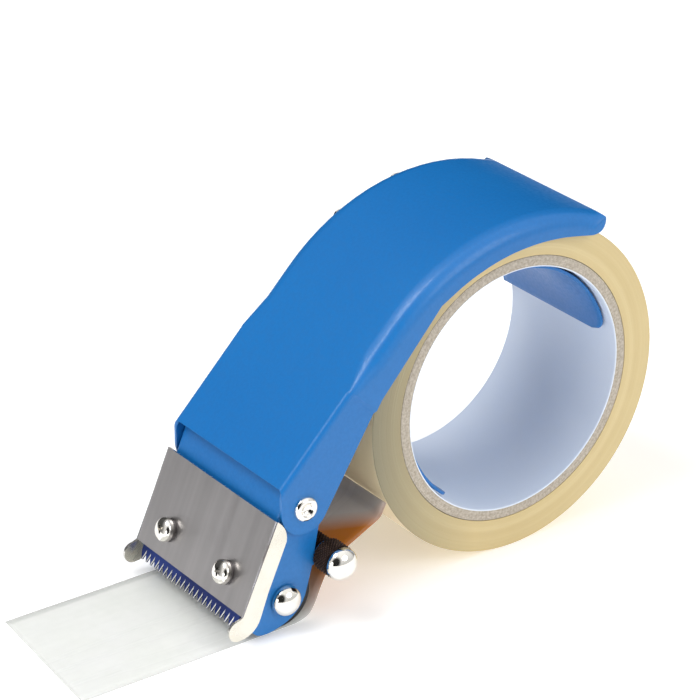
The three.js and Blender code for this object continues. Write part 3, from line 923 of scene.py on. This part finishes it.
for side, x, turn in (("left", -SCREW_X, 0.5), ("right", SCREW_X, 0.35)):
    bm = spun(pan_head(), 64)
    screw = new_piece(f"screw_head_{side}", bm, [NICKEL])
    subtract(screw, cross_cutter(turn))
    bm = bmesh.new()
    bm.from_mesh(screw.data)
    sharpen(bm, 35)
    lay_on_face(bm, x)
    bm.to_mesh(screw.data)
    bm.free()
    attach(screw, "head")
    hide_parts(f"blade_screw_{side}")

    ring = rounded([(0.02, 2.1), (0.02, 3.55), (WASHER_TOP - 0.04, 3.55), (WASHER_TOP - 0.04, 2.1)], 0.12)
    bm = spun(ring, 60, sweep=math.radians(350))
    sharpen(bm, 40)
    lay_on_face(bm, x)
    washer = new_piece(f"lock_washer_{side}", bm, [SPRING])
    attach(washer, "head")
    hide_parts(f"screw_washer_{side}")
print("two screws and two washers on the cover")

# %% [markdown]
# ## Press roller, caps and pivot
# The press roller pushes the tape down. It is a rubber sleeve on a steel tube, and its axle ends in
# two plated domes outside the bracket. The pivot is a tubular rivet whose ends are rolled over, so
# its section is a thin wall that curls outwards.

# %% Press roller, caps and pivot


def dome(start, end, radius, rim=0.5, steps=12):
    """Section of a plated cap, from its rounded rim to the top of its crown along X."""
    crown = [(start + rim + (end - start - rim) * math.sin(math.pi / 2 * i / steps),
              radius * math.cos(math.pi / 2 * i / steps)) for i in range(steps)]
    return [(start, 0), (start, radius - 0.6), (start + 0.15, radius - 0.15), *crown, (end, 0)]


def both_sides(section):
    """A section for the right-hand side and its mirror image for the left."""
    return (("right", section), ("left", [(-x, r) for x, r in section]))


turned("press_sleeve", rounded([(-24.6, 4.3), (-24.6, 9.8), (24.6, 9.8), (24.6, 4.3)], 0.5), PRESS,
       RUBBER, "press_roller", "press_roller_sleeve", steps=96)
for side, section in both_sides(dome(26.3, 30.4, 4.7)):
    turned(f"press_cap_{side}", section, PRESS, NICKEL, "head", f"press_axle_cap_{side}")

flange_face = HANDLE_HALF / MM
eyelet = [(flange_face + 0.1, 0), (flange_face + 0.1, 1.25)]
eyelet += [(flange_face + 0.05 + 1.3 * math.sin(math.radians(a)), 2.65 - 1.15 * math.cos(math.radians(a)))
           for a in range(30, 181, 15)]
turned("pivot_rivet", [*[(-x, r) for x, r in eyelet], *reversed(eyelet)], PIVOT, NICKEL,
       "handle", "pivot_shaft", crisp=60)

RIVET_FOOT, RIVET_RIM, RIVET_HEIGHT, RIVET_RADIUS = -28.2, -28.4, 0.75, 2.5
rivet_head = [(RIVET_FOOT, 0), (RIVET_FOOT, RIVET_RADIUS - 0.2), (RIVET_RIM, RIVET_RADIUS)]
rivet_head += [(RIVET_RIM - RIVET_HEIGHT * math.sin(math.radians(a)),
                RIVET_RADIUS * math.cos(math.radians(a))) for a in range(10, 90, 10)]
rivet_head.append((RIVET_RIM - RIVET_HEIGHT, 0))
for place in ("front", "middle", "rear"):
    node = f"hub_rivet_{place}"
    turned(f"rivet_head_{place}", rivet_head, middle(node), NICKEL, "handle", node, steps=40)
print("rollers, caps and rivets turned")

# %% [markdown]
# ## Knurling
# The guide roller and its end knobs are cut with a diamond knurl for grip. A grid is wrapped round
# the cylinder, every second vertex is sunk like the squares of a chessboard, and each square is
# split through its two sunk corners. What stands up are small four-sided points.

# %% Knurled pieces


def knurled(name, x0, x1, radius, around, deep, replaced):
    """A cylinder from x0 to x1 with so many points around; sizes are in millimetres."""
    pitch = 2 * math.pi * radius / around
    rows = max(2, round((x1 - x0) / pitch))
    section = [(x0 + (x1 - x0) * i / rows, radius) for i in range(rows + 1)]
    bm = spun([(x0 - 0.1, 2.6), (x0 - 0.1, radius - 0.4), *section, (x1 + 0.1, radius - 0.4),
               (x1 + 0.1, 2.6)], around)
    sunk = []
    for vert in bm.verts:
        row = (vert.co.x / MM - x0) / (x1 - x0) * rows
        column = round(math.atan2(vert.co.y, vert.co.z) / (2 * math.pi) * around)
        if -0.01 < row < rows + 0.01 and (round(row) + column) % 2:
            sunk.append(vert)
            vert.co.y *= 1 - deep / radius
            vert.co.z *= 1 - deep / radius
    bmesh.ops.connect_verts(bm, verts=sunk)
    bmesh.ops.translate(bm, verts=bm.verts, vec=(0, GUIDE.y, GUIDE.z))
    piece = new_piece(name, bm, [KNURL], smooth=False)
    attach(piece, "guide_roller")
    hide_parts(replaced)


knob_radius = KNOB_RADIUS / MM
knurled("knurled_knob_right", 26.6, 32.0, knob_radius, 60, 0.36, "guide_knob_right")
knurled("knurled_knob_left", -32.0, -26.6, knob_radius, 60, 0.36, "guide_knob_left")
knurled("knurled_barrel", -24.4, 24.4, 4.2, 48, 0.25, "guide_roller_barrel")
cap_section = [(32.2, 0), (32.2, 4.4), (32.7, 4.4), *dome(32.75, 36.9, 5.05, 0.4)[1:]]
for side, section in both_sides(cap_section):
    turned(f"guide_cap_dome_{side}", section, GUIDE, NICKEL, "guide_roller", f"guide_cap_{side}")
print("knurled knobs and barrel cut")

# %% [markdown]
# ## Pulled tape
# One ribbon of film leaves the roll, passes over the back of the guide roller, drops behind the
# press roller and lies on the table with its cut end forward. It is a chain of points swept across
# the tape's width. Near the roll it peels away sharply, because the glue holds on.

# %% Pulled tape
TAPE_HALF = 24.6
TAPE_END = (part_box("tape_tail")[0].y - ROLL.y) / MM
TAPE_FLOOR = 0.16
CUT_SLANT = 4.0
TAPE_ROUTE = [(-46.5, 28.8), (-47.5, 26.9), (-48.3, 25.4), (-49.6, 24.3), (-53.0, 22.7),
              (-57.5, 20.5), (-61.9, 18.4), (-64.9, 16.4), (-67.2, 13.9), (-69.6, 9.4), (-72.0, 4.2),
              (-74.4, 1.3), (-78.5, TAPE_FLOOR)]


def smooth_route(route, per_span):
    """Points along a Catmull-Rom curve through a route."""
    ends = [route[0], *route, route[-1]]
    out = []
    for a, b, c, d in zip(ends, ends[1:], ends[2:], ends[3:]):
        a, b, c, d = Vector(a), Vector(b), Vector(c), Vector(d)
        for k in range(per_span):
            t = k / per_span
            out.append(0.5 * (2 * b + (c - a) * t + (2 * a - 5 * b + 4 * c - d) * t * t
                              + (3 * b - a - 3 * c + d) * t ** 3))
    return out + [Vector(route[-1])]


def pulled_tape():
    route = smooth_route(TAPE_ROUTE, 6)
    floor_steps, across_steps = 44, 16
    start, end = route[-1], Vector((TAPE_END + 0.15, TAPE_FLOOR))
    route += [start.lerp(end, i / floor_steps) for i in range(1, floor_steps + 1)]
    bm = bmesh.new()
    chain = [bm.verts.new(at(-TAPE_HALF, y, z)) for y, z in route]
    edges = [bm.edges.new(pair) for pair in zip(chain, chain[1:])]
    for _ in range(across_steps):
        swept = bmesh.ops.extrude_edge_only(bm, edges=edges)["geom"]
        edges = [g for g in swept if isinstance(g, bmesh.types.BMEdge) and len(g.link_faces) == 1
                 and abs(g.verts[0].co.x - g.verts[1].co.x) < 1e-7]
        bmesh.ops.translate(bm, vec=(2 * TAPE_HALF / across_steps * MM, 0, 0),
                            verts=[g for g in swept if isinstance(g, bmesh.types.BMVert)])
    floor_start = at(0, *route[-floor_steps - 1]).y
    for vert in bm.verts:
        share = max(0.0, (floor_start - vert.co.y) / (floor_start - at(0, TAPE_END, 0).y))
        vert.co.y += share * CUT_SLANT * (TAPE_HALF - vert.co.x / MM) / (2 * TAPE_HALF) * MM
        ripple = math.sin(vert.co.x * 140 + vert.co.y * 60) * math.sin(vert.co.y * 95 + 1.0)
        vert.co.z += share * 0.10 * MM * (1 + ripple)
    bmesh.ops.recalc_face_normals(bm, faces=bm.faces)
    piece = new_piece("pulled_tape", bm, [FILM])
    wall = piece.modifiers.new("film", "SOLIDIFY")
    wall.thickness, wall.offset = 0.09 * MM, 0.0
    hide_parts("tape_web", "tape_tail")
    at(0, -47.5, 27.0)
    at(0, -62.0, 20.5)
    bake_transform(piece)


pulled_tape()
print("tape reaches %.0f mm in front of the roll's axis" % -TAPE_END)

# %% [markdown]
# ## Return spring
# A torsion spring round the pivot keeps the head pressed forward against the handle. It is a coil
# with two straight legs. A curve with a round bevel is enough, because it is one even wire.

# %% Return spring


def return_spring():
    coil, half, turns, wire = 4.6, 8.0, 6, 0.58
    long_leg, short_leg = 9.0, 5.4
    start = math.radians(52)
    end = start + turns * 2 * math.pi + math.radians(90)
    steps = 24 * turns

    def around(angle, x, lead):
        return (x * MM, PIVOT.y + (coil * math.cos(angle) - lead * math.sin(angle)) * MM,
                PIVOT.z + (coil * math.sin(angle) + lead * math.cos(angle)) * MM, 1)

    points = [around(start, -half, -long_leg)]
    points += [around(start + (end - start) * i / steps, -half + 2 * half * i / steps, 0)
               for i in range(steps + 1)]
    points.append(around(end, half, short_leg))
    curve = bpy.data.curves.new("head_spring_coil", "CURVE")
    curve.dimensions, curve.bevel_depth, curve.bevel_resolution = "3D", wire * MM, 3
    curve.use_fill_caps = True
    curve.materials.append(SPRING)
    line = curve.splines.new("POLY")
    line.points.add(len(points) - 1)
    for point, place in zip(line.points, points):
        point.co = place
    piece = bpy.data.objects.new("head_spring_coil", curve)
    bpy.context.scene.collection.objects.link(piece)
    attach(piece, "handle")
    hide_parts("head_return_spring")


return_spring()
print("spring wound")

# %% [markdown]
# ## Pieces that keep the engineer's shape
# Plain tubes, axles and the threaded strip behind the blade are right as they are, so they only get
# the finish that the real piece has.

# %% Finishes for the plain pieces
PLAIN = {"pivot_sleeve": SPRING, "blade_backing_strip": SPRING, "press_roller_tube": SPRING,
         "press_axle": NICKEL, "guide_axle": SPRING}
for name, material in PLAIN.items():
    data = nodes[name].data
    data.materials.clear()
    data.materials.append(material)
print("finished", len(PLAIN), "plain pieces")

# %% [markdown]
# ## Floor, light and framing
# The tool stands on a plain white floor that glows faintly, between large soft lights. The
# surroundings are brightest overhead, with dark gaps towards the camera, on the left and behind,
# because plated parts look like metal only when they have something dark to mirror.

# %% Floor and light


def white_floor():
    bm = bmesh.new()
    bmesh.ops.create_grid(bm, x_segments=1, y_segments=1, size=0.9)
    finish = Finish("white_floor", Specular_IOR_Level=0.0, Emission_Strength=0.22)
    shade = finish.noise(3.0, 2.0)
    white = finish.blend(shade, colour("FAFAFA"), colour("FCFCFC"))
    finish.set(Base_Color=white, Emission_Color=white,
               Roughness=finish.spread(shade, 0, 1, 0.9, 1.0))
    new_piece("floor", bm, [finish.material])


class Surroundings(Finish):
    """The world's own shader tree, with the same helpers."""

    def __init__(self):
        world = bpy.data.worlds.new("studio")
        bpy.context.scene.world = world
        world.use_nodes = True
        self.tree = world.node_tree
        self.shader = self.tree.nodes["Background"]
        self.place = self.node("ShaderNodeTexCoord", out="Generated")

    def toward(self, direction):
        return self.node("ShaderNodeVectorMath", {"operation": "DOT_PRODUCT"},
                         {0: self.place, 1: Vector(direction).normalized()}, out="Value")

    def seen_by_camera(self):
        return self.node("ShaderNodeLightPath", out="Is Camera Ray")


def studio():
    sky = Surroundings()
    base = sky.spread(sky.along("Z"), -0.1, 0.9, 0.62, 1.15)
    gap = sky.spread(sky.toward((0.60, -0.72, 0.34)), 0.76, 0.90, 0.0, 0.97)
    left = sky.spread(sky.toward((-1.0, 0.0, 0.1)), 0.35, 0.72, 0.0, 0.9)
    behind = sky.spread(sky.toward((-0.6, 0.8, 0.1)), 0.6, 0.88, 0.0, 0.9)
    level = base * (1.0 - gap) * (1.0 - left) * (1.0 - behind)
    camera_ray = sky.seen_by_camera()
    strength = camera_ray * 1.05 + (1.0 - camera_ray) * level
    sky.set(Color=(1.0, 1.0, 1.0, 1.0), Strength=strength)


def soft_light(name, place, size, power):
    """A round lamp that is turned towards the roll."""
    lamp = bpy.data.lights.new(name, "AREA")
    lamp.shape, lamp.size, lamp.energy = "DISK", size, power
    light = bpy.data.objects.new(name, lamp)
    light.location = place
    light.rotation_mode = "QUATERNION"
    light.rotation_quaternion = (ROLL - Vector(place)).to_track_quat("-Z", "Y")
    bpy.context.scene.collection.objects.link(light)


white_floor()
studio()
soft_light("key", (-0.15, -0.65, 1.25), 0.7, 8.5)
soft_light("side", (1.1, 0.35, 0.75), 0.8, 4.0)
soft_light("front", (0.25, -1.3, 0.22), 0.5, 3.0)
bpy.context.scene.view_settings.view_transform = "Standard"
print("floor and lights ready")
